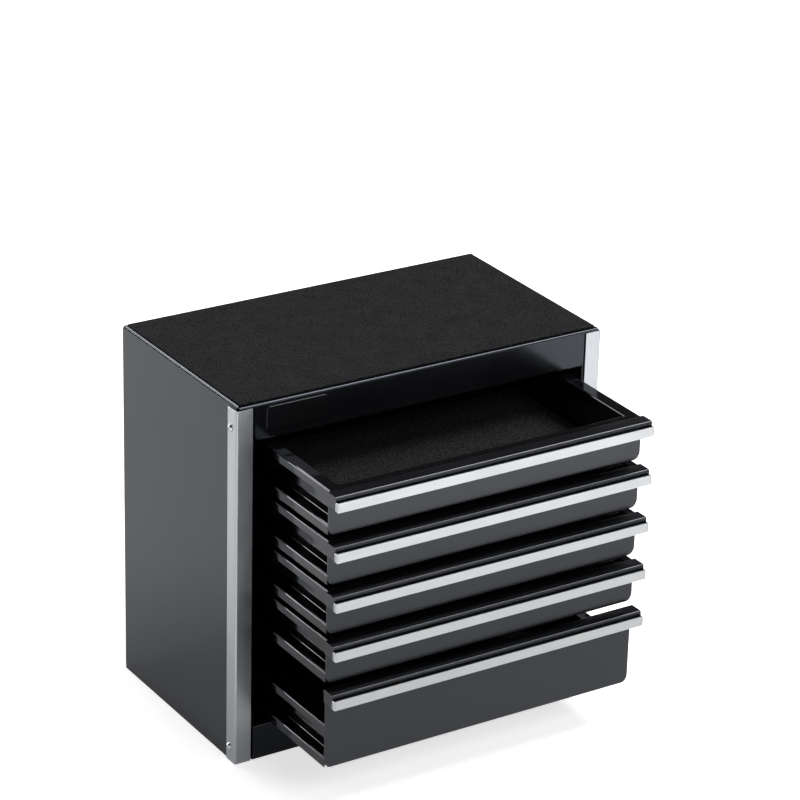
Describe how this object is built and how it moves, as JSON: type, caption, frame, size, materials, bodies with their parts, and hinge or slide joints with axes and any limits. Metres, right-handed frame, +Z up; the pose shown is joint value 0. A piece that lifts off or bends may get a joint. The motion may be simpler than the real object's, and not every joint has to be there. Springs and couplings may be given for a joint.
{
  "type": "drawer tool box",
  "caption": "Small black sheet-steel tool box with shallow sliding drawers, silver pull strips, silver corner trims and a grained mat on top.",
  "frame": {"origin": "middle of the underside of the case, on the surface that it stands on", "axes": "+X to the right seen from the front, drawers pull out towards -Y, +Z up"},
  "size_m": [0.2834, 0.2476, 0.2577],
  "materials": {
    "case_paint": "semi-gloss black powder coat",
    "front_paint": "satin black powder coat",
    "rail_paint": "gloss black enamel",
    "brushed_trim": "brushed along its length, satin",
    "bright_screw": "bright plated",
    "grained_mat": "matte with a leather grain",
    "liner_felt": "matte felt",
    "badge_plastic": "satin, bare"
  },
  "bodies": {
    "case": {"top_panel": "case_paint", "bottom_panel": "case_paint", "back_panel": "case_paint", "top_mat": "grained_mat", "badge_plate": "badge_plastic", "side_panel_left": "case_paint", "corner_trim_left": "brushed_trim", "rail_frame_left": "case_paint", "trim_screw_left_lower": "bright_screw", "trim_screw_left_upper": "bright_screw", "case_rail_left_1": "rail_paint", "case_rail_left_2": "rail_paint", "case_rail_left_3": "rail_paint", "case_rail_left_4": "rail_paint", "case_rail_left_5": "rail_paint", "side_panel_right": "case_paint", "corner_trim_right": "brushed_trim", "rail_frame_right": "case_paint", "trim_screw_right_lower": "bright_screw", "trim_screw_right_upper": "bright_screw", "case_rail_right_1": "rail_paint", "case_rail_right_2": "rail_paint", "case_rail_right_3": "rail_paint", "case_rail_right_4": "rail_paint", "case_rail_right_5": "rail_paint"},
    "drawer_1": {"drawer_1_front": "front_paint", "drawer_1_handle_strip": "brushed_trim", "drawer_1_tray": "case_paint", "drawer_1_liner": "liner_felt", "drawer_1_rail_left": "rail_paint", "drawer_1_rail_right": "rail_paint"},
    "drawer_2": {"drawer_2_front": "front_paint", "drawer_2_handle_strip": "brushed_trim", "drawer_2_tray": "case_paint", "drawer_2_liner": "liner_felt", "drawer_2_rail_left": "rail_paint", "drawer_2_rail_right": "rail_paint"},
    "drawer_3": {"drawer_3_front": "front_paint", "drawer_3_handle_strip": "brushed_trim", "drawer_3_tray": "case_paint", "drawer_3_liner": "liner_felt", "drawer_3_rail_left": "rail_paint", "drawer_3_rail_right": "rail_paint"},
    "drawer_4": {"drawer_4_front": "front_paint", "drawer_4_handle_strip": "brushed_trim", "drawer_4_tray": "case_paint", "drawer_4_liner": "liner_felt", "drawer_4_rail_left": "rail_paint", "drawer_4_rail_right": "rail_paint"},
    "drawer_5": {"drawer_5_front": "front_paint", "drawer_5_handle_strip": "brushed_trim", "drawer_5_tray": "case_paint", "drawer_5_liner": "liner_felt", "drawer_5_rail_left": "rail_paint", "drawer_5_rail_right": "rail_paint"}
  },
  "joints": [
    {"name": "drawer_1_slide", "type": "slide", "parent": "case", "child": "drawer_1", "axis": [0, -1, 0], "range_m": [-0.0912, 0]},
    {"name": "drawer_2_slide", "type": "slide", "parent": "case", "child": "drawer_2", "axis": [0, -1, 0], "range_m": [-0.0912, 0]},
    {"name": "drawer_3_slide", "type": "slide", "parent": "case", "child": "drawer_3", "axis": [0, -1, 0], "range_m": [-0.0912, 0]},
    {"name": "drawer_4_slide", "type": "slide", "parent": "case", "child": "drawer_4", "axis": [0, -1, 0], "range_m": [-0.0912, 0]},
    {"name": "drawer_5_slide", "type": "slide", "parent": "case", "child": "drawer_5", "axis": [0, -1, 0], "range_m": [-0.0912, 0]}
  ]
}
